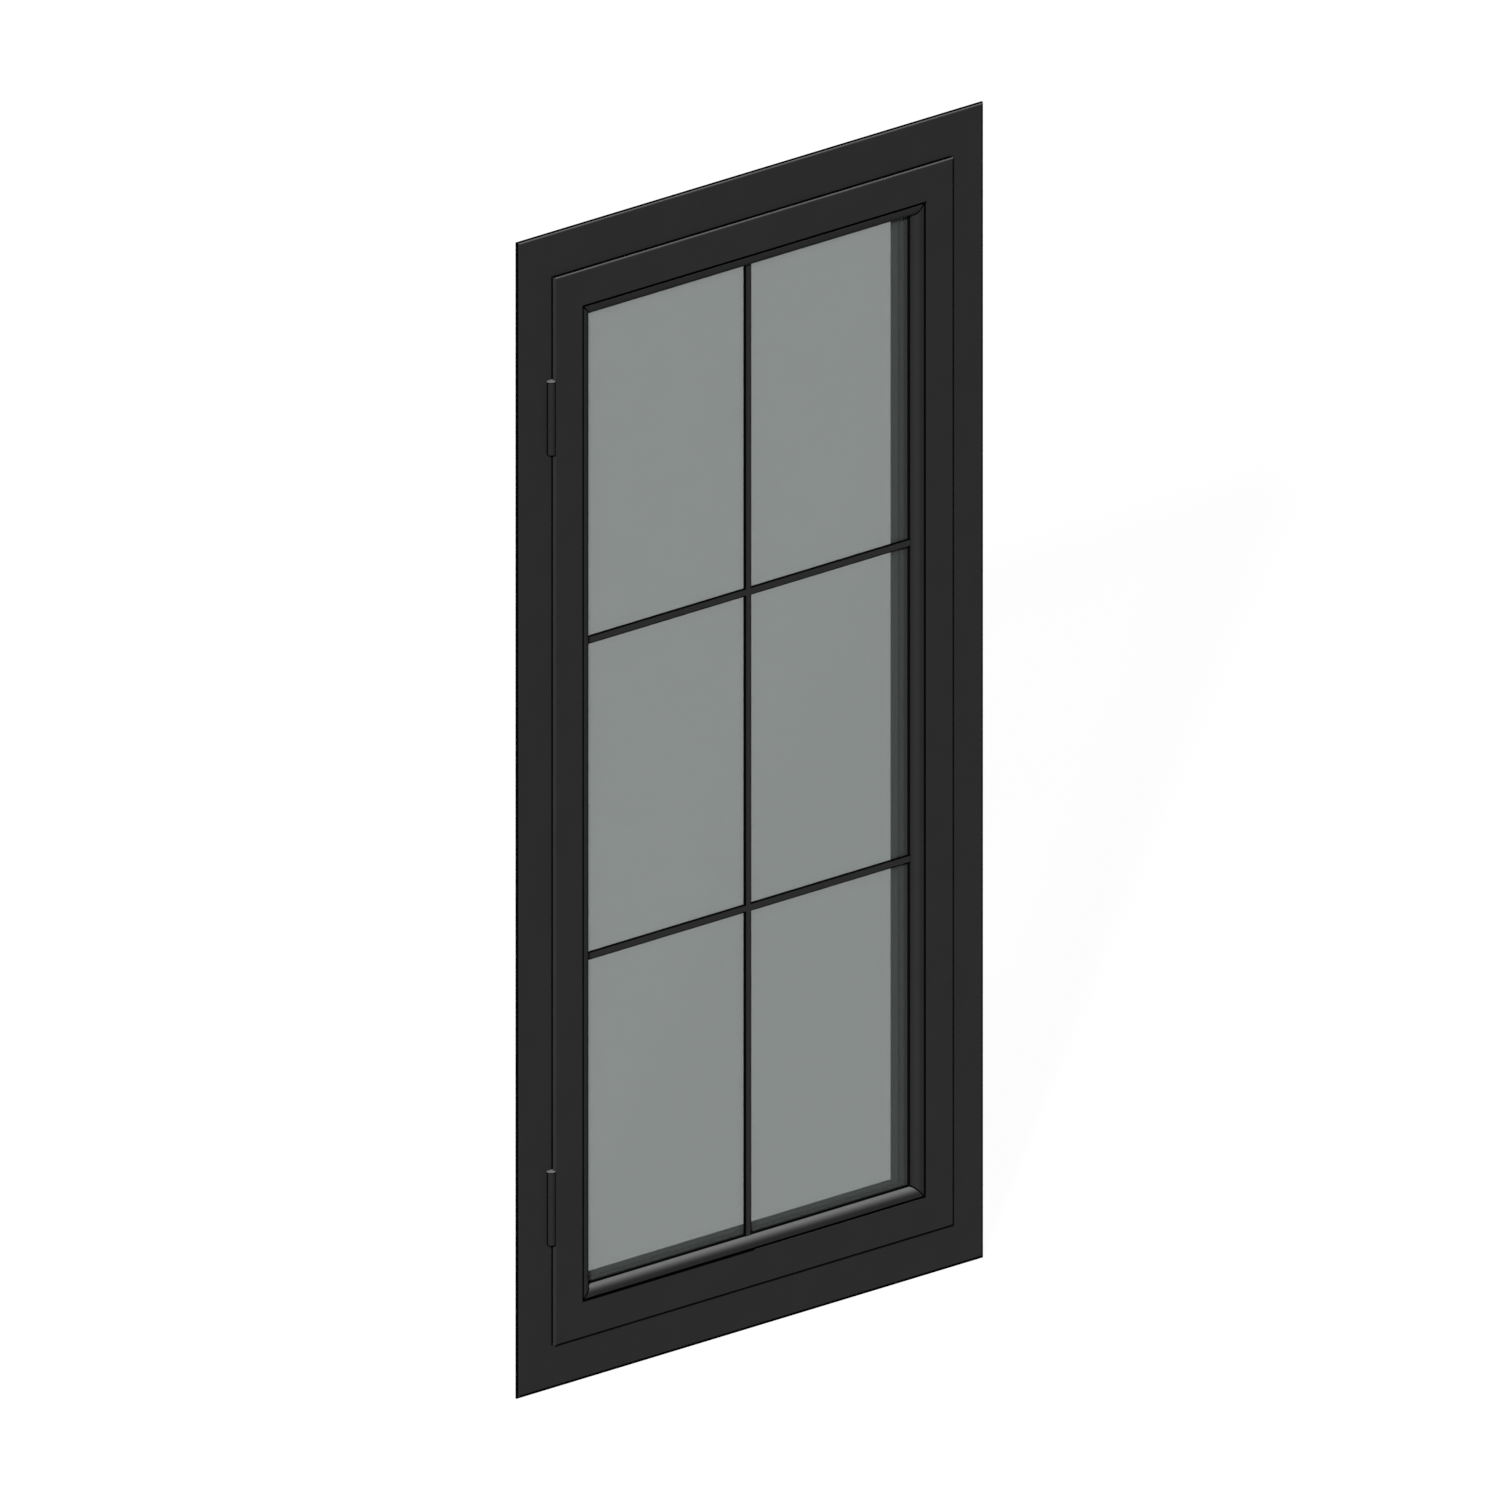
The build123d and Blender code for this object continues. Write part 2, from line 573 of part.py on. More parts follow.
def main():
    os.makedirs("parts", exist_ok=True)

    for side in SIDES:
        save(FRAME_NAMES[side], frame_piece(side))
        save(SASH_NAMES[side], sash_piece(side))
        save(f"glazing_bead_{side}", mitred(bead_section(), side, BEAD_MITRE_GAP))
        save(f"outer_gasket_{side}", mitred(outer_gasket_section(), side))
        save(f"inner_gasket_{side}", mitred(inner_gasket_section(), side))
        save(f"spacer_{side}", mitred(spacer_section(), side))
        save(f"outer_seal_{side}", outer_seal(side))
        save(f"inner_seal_{side}", mitred(inner_seal_section(), side))

    save("outer_pane", pane(GLASS_FRONT_Y))
    save("inner_pane", pane(INNER_PANE_Y))
    save("edge_sealant", edge_sealant())
    save("setting_blocks", setting_blocks())

    upright, upper, lower = glazing_bars()
    save("glazing_bar_upright", upright)
    save("glazing_bar_upper", upper)
    save("glazing_bar_lower", lower)
    save("glazing_bar_tapes", bar_tapes())

    for name, middle_z in zip(("lower", "upper"), HINGE_MIDDLES):
        frame_leaf, sash_leaf = hinge_leaves(middle_z)
        save(f"{name}_hinge_frame_leaf", frame_leaf)
        save(f"{name}_hinge_sash_leaf", sash_leaf)
    save("hinge_pins", [pin_room(z, PIN_DIAMETER / 2) for z in HINGE_MIDDLES])


main()
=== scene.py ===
import json
import math

import bpy
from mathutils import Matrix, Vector


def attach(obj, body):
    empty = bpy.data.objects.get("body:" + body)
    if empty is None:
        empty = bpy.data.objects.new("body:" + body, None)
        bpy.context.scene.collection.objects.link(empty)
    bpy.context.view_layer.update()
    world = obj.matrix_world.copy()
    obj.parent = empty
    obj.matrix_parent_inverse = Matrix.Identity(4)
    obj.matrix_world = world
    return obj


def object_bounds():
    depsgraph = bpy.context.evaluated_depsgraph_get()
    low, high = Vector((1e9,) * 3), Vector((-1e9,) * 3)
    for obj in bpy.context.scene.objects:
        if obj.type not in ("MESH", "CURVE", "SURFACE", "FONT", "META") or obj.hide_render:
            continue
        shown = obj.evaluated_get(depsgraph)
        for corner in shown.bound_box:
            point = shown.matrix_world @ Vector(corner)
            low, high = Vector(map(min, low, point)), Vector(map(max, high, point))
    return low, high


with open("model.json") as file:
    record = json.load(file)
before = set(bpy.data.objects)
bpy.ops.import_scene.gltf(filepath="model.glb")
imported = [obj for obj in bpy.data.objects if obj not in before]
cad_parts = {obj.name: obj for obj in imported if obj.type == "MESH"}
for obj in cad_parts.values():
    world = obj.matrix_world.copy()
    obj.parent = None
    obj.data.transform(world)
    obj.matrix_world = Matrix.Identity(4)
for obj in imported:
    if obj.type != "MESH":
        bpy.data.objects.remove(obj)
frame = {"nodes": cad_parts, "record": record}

CAD_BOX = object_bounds()
NODES = frame["nodes"]

# The photograph's parallel view: its turn, its tilt, its width and where it is centred
VIEW_AZIMUTH = math.radians(-43.45)
VIEW_ELEVATION = math.radians(18.68)
VIEW_WIDTH = 1.5937
VIEW_RIGHT_OF_ORIGIN = 0.00158
VIEW_ABOVE_ORIGIN = 0.5931
CAMERA_DISTANCE = 6.0
CAMERA_REACH = 60.0

# Lamps, world and floor
FILL_STRENGTH = 0.10
KEY_STRENGTH = 5.05
KEY_DIRECTION = (-1.25, -1.00, 0.75)
KEY_SOFTNESS = math.radians(3)
BACK_STRENGTH = 3.4
BACK_DIRECTION = (0.90, 1.00, 0.15)
BACK_SOFTNESS = math.radians(8)
FLOOR_SIZE = 24.0
FLOOR_COLOUR = (0.50, 0.50, 0.50)
FLOOR_WHITE_SHARE = 0.88
FLOOR_WHITE_STRENGTH = 1.10

# Where the window's parts meet, in metres: edges are counted outwards from the glazed
# opening, and depths indoors from the flange's back
HALF_OPENING_WIDTH = 0.24995
HALF_OPENING_HEIGHT = 0.5572
MIDDLE_HEIGHT = 0.6263
SASH_FRONT = -0.0092
SASH_EDGE = 0.0011
LIP_EDGE = 0.0423
LIP_BACK = -0.00605
BEAD_FRONT = -0.00833
BEAD_EDGE = -0.0013
FLANGE_EDGE = 0.0911
FLANGE_FACE_LIMIT = -0.0035
BAR_WIDTH = 0.0084
BAR_PITCH = 0.3544
SPACER_FACE = -0.0117
SPACER_BARE_DEPTH = (0.0112, 0.0183)

# Hinges, their screws, and the spacer's perforations
HINGE_TOPS = (0.2243, 1.1105)
HINGE_SPACING = 0.8862
BARREL_LENGTH = 0.0822
FRAME_LEAF_SCREW = (-0.27895, 0.0080, 0.1532)
FRAME_LEAF_SCREW_SPACING = 0.0600
SASH_LEAF_SCREW = (-0.27795, 0.0080, 0.1752)
SASH_LEAF_SCREW_SPACING = 0.0160
RECESS_ARMS = ((0.0040, 0.0009, 0.0022), (0.0009, 0.0040, 0.0022))
PERFORATION_DEPTHS = (0.0132, 0.0164)
PERFORATION_END_CLEARANCE = 0.012

# Painted shade lines and the bead's dark mitre joints: how wide they are, or how far from an edge
# they start
WALL_TOUCH = 0.0001
GROOVE_FADE = 0.0003
RIM_LINE = 0.0008
ARRIS_DEPTH = 0.0015
MITRE_GAP = 0.0013
FLANGE_ROUND = 0.0027
FLANGE_FAR_ROUND = 0.0028
FLANGE_LEFT_LINE = 0.0015
LIP_ROUND = 0.0026
LIP_BACK_TOUCH = 0.0003
BAR_ARRIS = 0.0010
BARREL_TOP_LINE = 0.0006
BARREL_FOOT_LINE = 0.0004
BARREL_LINE_REACH = 0.0004

# Painted shade on turned rims and edges: the part of the normal at which a turning surface starts
# to darken and is dark
ASIDE_TURN = (0.05, 0.25)
DOWN_TURN = (-0.10, -0.35)
LEFT_TURN = (-0.40, -0.65)
FLANGE_UP_TURN = (0.62, 0.76)
LIP_UP_TURN = (0.70, 0.84)
BAR_EDGE_TURN = (0.7, 0.4)
BARREL_TURN = (-0.15, 0.10)
BARREL_END_TURN = 0.5
FAR_RIM_INDOOR_LIMIT = 0.5
FAR_RIM_UP_LIMIT = 0.25
FAR_RIM_LEFT_LIMIT = -0.25

# Painted top light, which makes up-facing surfaces paler: where it lies, and its share on a level
# ledge, which over 1 is reached on a slope
TOP_LIGHT_REACH = 0.0015
HINGE_TOP_REACH = 0.0002
LEVEL_SHARE = 0.9
SLOPE_SHARE = 0.1
FRAME_TOP_LIGHT = 1.5
SASH_TOP_LIGHT = 1.15
BEAD_TOP_LIGHT = 1.0
BAR_TOP_LIGHT = 0.1
HINGE_TOP_LIGHT = 1.0

# Colours, and the darkest and palest share of each
COAT_COLOUR = (0.0216, 0.0216, 0.0217)
# Painted shade: the bead's and the hinges' coat is the frame's coat made darker, to offset the key
# light on their rounds
BEAD_SHADED_COAT_COLOUR = (0.0192, 0.0192, 0.0193)
HINGE_SHADED_COAT_COLOUR = (0.0165, 0.0165, 0.0166)
# Painted top light: the pale colour laid on up-facing surfaces and rounds as a painted highlight
TOP_LIGHT_COLOUR = (0.220, 0.220, 0.221)
# Near black: painted shade in grooves, behind the sash's lip, on turned rims and along edges, and
# the real black of the bead's mitre joints and the spacer's butyl
BLACK_AND_PAINTED_SHADE_COLOUR = (0.0015, 0.0015, 0.0015)
RUBBER_COLOUR = (0.0022, 0.0022, 0.0022)
SPACER_COLOUR = (0.020, 0.0206, 0.0203)
INNER_GASKET_COLOUR = (0.110, 0.112, 0.112)
GLASS_COLOUR = (0.063, 0.071, 0.0685)
GLASS_TINT = (0.983, 1.0, 0.994)
BLOCK_COLOURS = ((0.008, 0.008, 0.008), (0.013, 0.013, 0.013))
STEEL_COLOURS = ((0.44, 0.45, 0.46), (0.58, 0.59, 0.60))
COAT_MOTTLE = (0.93, 1.07)
RUBBER_BLOOM = (0.75, 1.25)
INNER_GASKET_BLOOM = (0.95, 1.05)
GLASS_MOTTLE = (0.98, 1.02)
SPACER_MOTTLE = (0.95, 1.05)
DRILLED_MOTTLE = (0.6, 0.8)

# Gloss, and the ranges that roughness wanders in
COAT_GLOSS = 0.0
RUBBER_GLOSS = 0.0
SPACER_GLOSS = 0.0
GLASS_GLOSS = 0.25
GLASS_ROUGHNESS = 0.04
GLASS_HAZE = 0.3265
COAT_ROUGHNESS = (0.45, 0.51)
RUBBER_ROUGHNESS = (0.62, 0.78)
SPACER_ROUGHNESS = (0.36, 0.46)
BLOCK_ROUGHNESS = (0.45, 0.55)
STEEL_ROUGHNESS = (0.24, 0.36)
DRILLED_ROUGHNESS = (0.7, 0.9)

# Noise scales, in cells to a metre, and the strength and depth of fine relief
COAT_MOTTLE_SCALE = 22.0
COAT_GLOSS_SCALE = 55.0
ORANGE_PEEL_SCALE = 1300.0
BLOOM_SCALE = 60.0
RUBBER_GRAIN_SCALE = 2500.0
GLASS_WAVE_SCALE = 1.6
DRAWING_MARK_SCALE = 900.0
DRAWING_MARK_STRETCH = (1.0, 0.2, 1.0)
BLOCK_GRAIN_SCALE = 1400.0
TURNING_MARK_SCALE = 1800.0
TURNING_MARK_STRETCH = (1.0, 1.0, 4.0)
PERFORATION_SHADE_SCALE = 3000.0
ORANGE_PEEL = (0.05, 0.0002)
RUBBER_GRAIN = (0.08, 0.0002)
GLASS_WAVE = (0.02, 0.0005)
BLOCK_GRAIN = (0.1, 0.0002)


def placed(name, data):
    """A new object in the scene."""
    thing = bpy.data.objects.new(name, data)
    bpy.context.scene.collection.objects.link(thing)
    return thing


def set_inputs(node, settings):
    """Sets several inputs of one shader node by name."""
    for name, setting in settings.items():
        node.inputs[name].default_value = setting


def new_material(name):
    """An empty material with its own shader and output."""
    material = bpy.data.materials.new(name)
    material.use_nodes = True
    tree = material.node_tree
    tree.nodes.clear()
    output = tree.nodes.new("ShaderNodeOutputMaterial")
    shader = tree.nodes.new("ShaderNodeBsdfPrincipled")
    tree.links.new(shader.outputs["BSDF"], output.inputs["Surface"])
    return material, tree, shader


def mix_surfaces(tree, first, second):
    """Puts a mix of two surfaces on the material's output, and gives its factor's socket."""
    mix = tree.nodes.new("ShaderNodeMixShader")
    tree.links.new(first, mix.inputs[1])
    tree.links.new(second, mix.inputs[2])
    output = next(node for node in tree.nodes if node.type == "OUTPUT_MATERIAL")
    tree.links.new(mix.outputs["Shader"], output.inputs["Surface"])
    return mix.inputs["Fac"]


def object_noise(tree, scale, detail=2.0, stretch=(1.0, 1.0, 1.0)):
    """Noise on the object's own coordinates, stretched along its axes."""
    place = tree.nodes.new("ShaderNodeTexCoord")
    mapping = tree.nodes.new("ShaderNodeMapping")
    mapping.inputs["Scale"].default_value = stretch
    noise = tree.nodes.new("ShaderNodeTexNoise")
    noise.inputs["Scale"].default_value = scale
    noise.inputs["Detail"].default_value = detail
    tree.links.new(place.outputs["Object"], mapping.inputs["Vector"])
    tree.links.new(mapping.outputs["Vector"], noise.inputs["Vector"])
    return noise.outputs["Fac"]


def blend_colours(tree, factor, dark, pale):
    """A colour between two, by a factor."""
    mix = tree.nodes.new("ShaderNodeMix")
    mix.data_type = "RGBA"
    mix.inputs["A"].default_value = (*dark, 1.0)
    mix.inputs["B"].default_value = (*pale, 1.0)
    tree.links.new(factor, mix.inputs["Factor"])
    return mix.outputs["Result"]


def laid_over(tree, under, factor, colour):
    """A flat colour laid over a pattern by a factor."""
    mix = tree.nodes.new("ShaderNodeMix")
    mix.data_type = "RGBA"
    mix.inputs["B"].default_value = (*colour, 1.0)
    tree.links.new(factor, mix.inputs["Factor"])
    tree.links.new(under, mix.inputs["A"])
    return mix.outputs["Result"]


def mottled(tree, factor, colour, shares):
    """A colour that wanders between its darkest and its palest share."""
    dark, pale = (tuple(channel * share for channel in colour) for share in shares)
    return blend_colours(tree, factor, dark, pale)


def ranged(tree, factor, low, high):
    """A value between low and high, by a factor from 0 to 1."""
    span = tree.nodes.new("ShaderNodeMapRange")
    span.inputs["To Min"].default_value = low
    span.inputs["To Max"].default_value = high
    tree.links.new(factor, span.inputs["Value"])
    return span.outputs["Result"]


def ramp(tree, value, start, end):
    """0 up to start and 1 from end on."""
    span = tree.nodes.new("ShaderNodeMapRange")
    span.inputs["From Min"].default_value = start
    span.inputs["From Max"].default_value = end
    tree.links.new(value, span.inputs["Value"])
    return span.outputs["Result"]


def surface_relief(tree, shader, height, strength, depth):
    """Fine relief on a shader's normal."""
    bump = tree.nodes.new("ShaderNodeBump")
    bump.inputs["Strength"].default_value = strength
    bump.inputs["Distance"].default_value = depth
    tree.links.new(height, bump.inputs["Height"])
    tree.links.new(bump.outputs["Normal"], shader.inputs["Normal"])


def reckon(tree, operation, *values):
    """One step of arithmetic on sockets and numbers."""
    step = tree.nodes.new("ShaderNodeMath")
    step.operation = operation
    for place, value in enumerate(values):
        if isinstance(value, bpy.types.NodeSocket):
            tree.links.new(value, step.inputs[place])
        else:
            step.inputs[place].default_value = value
    return step.outputs[0]


def either(tree, first, *others):
    """The greatest of several values, which joins masks."""
    for other in others:
        first = reckon(tree, "MAXIMUM", first, other)
    return first


def both(tree, first, *others):
    """The product of several values, which keeps what masks share."""
    for other in others:
        first = reckon(tree, "MULTIPLY", first, other)
    return first


def above(tree, value, limit):
    """1 where a value is over a limit, or else 0."""
    return reckon(tree, "GREATER_THAN", value, limit)


def below(tree, value, limit):
    """1 where a value is under a limit, or else 0."""
    return reckon(tree, "LESS_THAN", value, limit)


def near(tree, value, goal, reach):
    """1 where a value is within reach of a goal, or else 0."""
    return reckon(tree, "COMPARE", value, goal, reach)


def distance_from(tree, value, goal):
    """How far a value is from a goal, on either side."""
    return reckon(tree, "ABSOLUTE", reckon(tree, "SUBTRACT", value, goal))


def axes_of(tree, vector):
    """The three parts of a vector."""
    axes = tree.nodes.new("ShaderNodeSeparateXYZ")
    tree.links.new(vector, axes.inputs["Vector"])
    return axes.outputs["X"], axes.outputs["Y"], axes.outputs["Z"]


def facing(tree):
    """Which way a surface faces, along each axis."""
    return axes_of(tree, tree.nodes.new("ShaderNodeNewGeometry").outputs["Normal"])


def place_on(tree):
    """Where a point is, along each axis."""
    return axes_of(tree, tree.nodes.new("ShaderNodeTexCoord").outputs["Object"])


def window_place(tree):
    """Depth, and the distances outwards from the opening's upright and level edges."""
    x, depth, z = place_on(tree)
    across = reckon(tree, "SUBTRACT", reckon(tree, "ABSOLUTE", x), HALF_OPENING_WIDTH)
    along = reckon(tree, "SUBTRACT", distance_from(tree, z, MIDDLE_HEIGHT), HALF_OPENING_HEIGHT)
    return depth, across, along


def turned_rim(tree, outwards, start, up_turn):
    """From start outwards, where a rounded rim has turned to the right, down or up, which gets
    painted shade.
    """
    x, _, z = facing(tree)
    turned = either(
        tree, ramp(tree, x, *ASIDE_TURN), ramp(tree, z, *DOWN_TURN), ramp(tree, z, *up_turn),
    )
    return both(tree, above(tree, outwards, start), turned)


def far_rim(tree, start):
    """The front just inside a rim, from start outwards, on the lock side and along the bottom,
    which gets a painted shade line.
    """
    x, _, z = place_on(tree)
    turn_x, turn_y, turn_z = facing(tree)
    rightwards = reckon(tree, "SUBTRACT", x, HALF_OPENING_WIDTH)
    downwards = reckon(tree, "SUBTRACT", MIDDLE_HEIGHT - HALF_OPENING_HEIGHT, z)
    return both(
        tree,
        above(tree, either(tree, rightwards, downwards), start),
        below(tree, turn_y, FAR_RIM_INDOOR_LIMIT),
        below(tree, turn_z, FAR_RIM_UP_LIMIT),
        above(tree, turn_x, FAR_RIM_LEFT_LIMIT),
    )


def frame_painted_shade(tree):
    """Painted shade behind the sash's lip, and on the flange's rim against the wall."""
    depth, across, along = window_place(tree)
    outwards = either(tree, across, along)
    behind_lip = both(
        tree, below(tree, outwards, LIP_EDGE), below(tree, depth, FLANGE_FACE_LIMIT),
    )
    left_edge = both(
        tree,
        ramp(tree, facing(tree)[0], *LEFT_TURN),
        above(tree, outwards, FLANGE_EDGE - FLANGE_LEFT_LINE),
    )
    return either(
        tree,
        behind_lip,
        turned_rim(tree, outwards, FLANGE_EDGE - FLANGE_ROUND, FLANGE_UP_TURN),
        far_rim(tree, FLANGE_EDGE - FLANGE_FAR_ROUND - RIM_LINE),
        left_edge,
    )


def sash_painted_shade(tree):
    """Painted shade on the sash's side of the groove round the bead, and on the rim and back of its
    lip.
    """
    depth, across, along = window_place(tree)
    outwards = either(tree, across, along)
    groove = both(
        tree,
        below(tree, outwards, SASH_EDGE + WALL_TOUCH),
        ramp(tree, depth, SASH_FRONT, SASH_FRONT + GROOVE_FADE),
    )
    x, _, z = place_on(tree)
    arris = both(
        tree,
        either(tree, below(tree, x, 0.0), above(tree, z, MIDDLE_HEIGHT + HALF_OPENING_HEIGHT)),
        below(tree, outwards, SASH_EDGE + RIM_LINE),
        below(tree, depth, SASH_FRONT + ARRIS_DEPTH),
    )
    return either(
        tree,
        groove,
        arris,
        near(tree, depth, LIP_BACK, LIP_BACK_TOUCH),
        turned_rim(tree, outwards, LIP_EDGE - LIP_ROUND, LIP_UP_TURN),
    )


def bead_painted_shade_and_mitres(tree):
    """Painted shade on the bead's side of its groove, and the dark joints of its mitred ends."""
    depth, across, along = window_place(tree)
    groove = both(
        tree,
        above(tree, either(tree, across, along), BEAD_EDGE - WALL_TOUCH),
        ramp(tree, depth, BEAD_FRONT, BEAD_FRONT + GROOVE_FADE),
    )
    return either(tree, groove, below(tree, distance_from(tree, across, along), MITRE_GAP))


def bar_painted_edge_shade(tree):
    """Painted shade on the thin edges of the flat bars and their arrises, which stop where the bars
    cross.
    """
    x, _, z = place_on(tree)
    from_upright = reckon(tree, "ABSOLUTE", x)
    from_level = distance_from(tree, distance_from(tree, z, MIDDLE_HEIGHT), BAR_PITCH / 2)
    from_nearest_bar = reckon(tree, "MINIMUM", from_upright, from_level)
    arris = above(tree, from_nearest_bar, BAR_WIDTH / 2 - BAR_ARRIS)
    frontwards = reckon(tree, "ABSOLUTE", facing(tree)[1])
    return either(tree, arris, ramp(tree, frontwards, *BAR_EDGE_TURN))


def barrel_painted_shade(tree):
    """Painted shade where a barrel turns towards the flange, and along its ends' edges."""
    _, depthwards, rise = facing(tree)
    behind = both(
        tree, ramp(tree, depthwards, *BARREL_TURN), below(tree, rise, BARREL_END_TURN),
    )
    height = place_on(tree)[2]
    ends = [top - BARREL_TOP_LINE for top in HINGE_TOPS]
    ends += [top - BARREL_LENGTH + BARREL_FOOT_LINE for top in HINGE_TOPS]
    return either(tree, behind, *(near(tree, height, end, BARREL_LINE_REACH) for end in ends))


def upward(tree):
    """How far a surface is laid back, which sets its painted top light: 0 for walls and undersides,
    1 for level ledges.
    """
    rise = either(tree, facing(tree)[2], 0.0)
    upright = reckon(tree, "SQRT", reckon(tree, "SUBTRACT", 1.0, both(tree, rise, rise)))
    laid_back = both(tree, reckon(tree, "SUBTRACT", 1.0, upright), LEVEL_SHARE)
    return reckon(tree, "ADD", laid_back, both(tree, rise, SLOPE_SHARE))


def painted_top_light_outdoors(tree):
    """Painted top light: paler on what faces up, on the outdoor side of the wall."""
    rise = either(tree, facing(tree)[2], 0.0)
    return both(tree, rise, rise, below(tree, place_on(tree)[1], TOP_LIGHT_REACH))


def painted_highlight_on_hinge_tops(tree):
    """Painted highlight on the barrels' tops, not between the knuckles."""
    height = place_on(tree)[2]
    tops = [near(tree, height, top, HINGE_TOP_REACH) for top in HINGE_TOPS]
    return both(tree, upward(tree), either(tree, *tops))


def powder_coat(name, coat, top_light, top_light_share, shade_and_joints):
    """Matt powder coat: faint mottling, uneven gloss, fine orange peel, painted top light and
    highlights on what faces up, and painted shade in its grooves, on its rims and along its edges,
    with dark mitre joints on the bead.
    """
    material, tree, shader = new_material(name)
    set_inputs(shader, {"Specular IOR Level": COAT_GLOSS})
    mottle = object_noise(tree, COAT_MOTTLE_SCALE, detail=3.0)
    colour = mottled(tree, mottle, coat, COAT_MOTTLE)
    colour = laid_over(tree, colour, ranged(tree, top_light(tree), 0.0, top_light_share), TOP_LIGHT_COLOUR)
    colour = laid_over(tree, colour, shade_and_joints(tree), BLACK_AND_PAINTED_SHADE_COLOUR)
    tree.links.new(colour, shader.inputs["Base Color"])
    roughness = ranged(tree, object_noise(tree, COAT_GLOSS_SCALE), *COAT_ROUGHNESS)
    tree.links.new(roughness, shader.inputs["Roughness"])
    surface_relief(tree, shader, object_noise(tree, ORANGE_PEEL_SCALE), *ORANGE_PEEL)
    return material


def moulded_rubber(name, colour, bloom_shares):
    """Matt rubber with a faint bloom and a fine grain."""
    material, tree, shader = new_material(name)
    set_inputs(shader, {"Specular IOR Level": RUBBER_GLOSS})
    bloom = object_noise(tree, BLOOM_SCALE, detail=3.0)
    tree.links.new(mottled(tree, bloom, colour, bloom_shares), shader.inputs["Base Color"])
    tree.links.new(ranged(tree, bloom, *RUBBER_ROUGHNESS), shader.inputs["Roughness"])
    surface_relief(tree, shader, object_noise(tree, RUBBER_GRAIN_SCALE), *RUBBER_GRAIN)
    return material


def tinted_glass(name):
    """Grey-green sheet glass: clear tint with a share of grey sheen, and the slightest waviness."""
    material, tree, shader = new_material(name)
    set_inputs(shader, {"Specular IOR Level": GLASS_GLOSS, "Roughness": GLASS_ROUGHNESS})
    wave = object_noise(tree, GLASS_WAVE_SCALE, detail=1.0)
    tree.links.new(mottled(tree, wave, GLASS_COLOUR, GLASS_MOTTLE), shader.inputs["Base Color"])
    surface_relief(tree, shader, wave, *GLASS_WAVE)
    clear = tree.nodes.new("ShaderNodeBsdfTransparent")
    clear.inputs["Color"].default_value = (*GLASS_TINT, 1.0)
    haze = mix_surfaces(tree, clear.outputs["BSDF"], shader.outputs["BSDF"])
    haze.default_value = GLASS_HAZE
    return material


def anodised_spacer(name):
    """Dark anodised aluminium with drawing marks, and black butyl beside each pane."""
    material, tree, shader = new_material(name)
    set_inputs(shader, {"Specular IOR Level": SPACER_GLOSS})
    marks = object_noise(tree, DRAWING_MARK_SCALE, stretch=DRAWING_MARK_STRETCH)
    metal = mottled(tree, marks, SPACER_COLOUR, SPACER_MOTTLE)
    depth = place_on(tree)[1]
    bare_from, bare_to = SPACER_BARE_DEPTH
    butyl = either(tree, below(tree, depth, bare_from), above(tree, depth, bare_to))
    tree.links.new(laid_over(tree, metal, butyl, BLACK_AND_PAINTED_SHADE_COLOUR), shader.inputs["Base Color"])
    tree.links.new(ranged(tree, marks, *SPACER_ROUGHNESS), shader.inputs["Roughness"])
    return material


def block_plastic(name):
    """Moulded plastic of the setting blocks."""
    material, tree, shader = new_material(name)
    grain = object_noise(tree, BLOCK_GRAIN_SCALE)
    tree.links.new(blend_colours(tree, grain, *BLOCK_COLOURS), shader.inputs["Base Color"])
    tree.links.new(ranged(tree, grain, *BLOCK_ROUGHNESS), shader.inputs["Roughness"])
    surface_relief(tree, shader, grain, *BLOCK_GRAIN)
    return material


def bright_steel(name):
    """Turned steel of the hinge pins and screws."""
    material, tree, shader = new_material(name)
    set_inputs(shader, {"Metallic": 1.0})
    marks = object_noise(tree, TURNING_MARK_SCALE, stretch=TURNING_MARK_STRETCH)
    tree.links.new(blend_colours(tree, marks, *STEEL_COLOURS), shader.inputs["Base Color"])
    tree.links.new(ranged(tree, marks, *STEEL_ROUGHNESS), shader.inputs["Roughness"])
    return material


def perforation_shade(name):
    """Painted shade: the dark inside of the spacer's small perforations, on thin sheets laid on its
    faces.
    """
    material, tree, shader = new_material(name)
    shade_noise = object_noise(tree, PERFORATION_SHADE_SCALE)
    base = mottled(tree, shade_noise, SPACER_COLOUR, DRILLED_MOTTLE)
    tree.links.new(base, shader.inputs["Base Color"])
    tree.links.new(ranged(tree, shade_noise, *DRILLED_ROUGHNESS), shader.inputs["Roughness"])
    return material


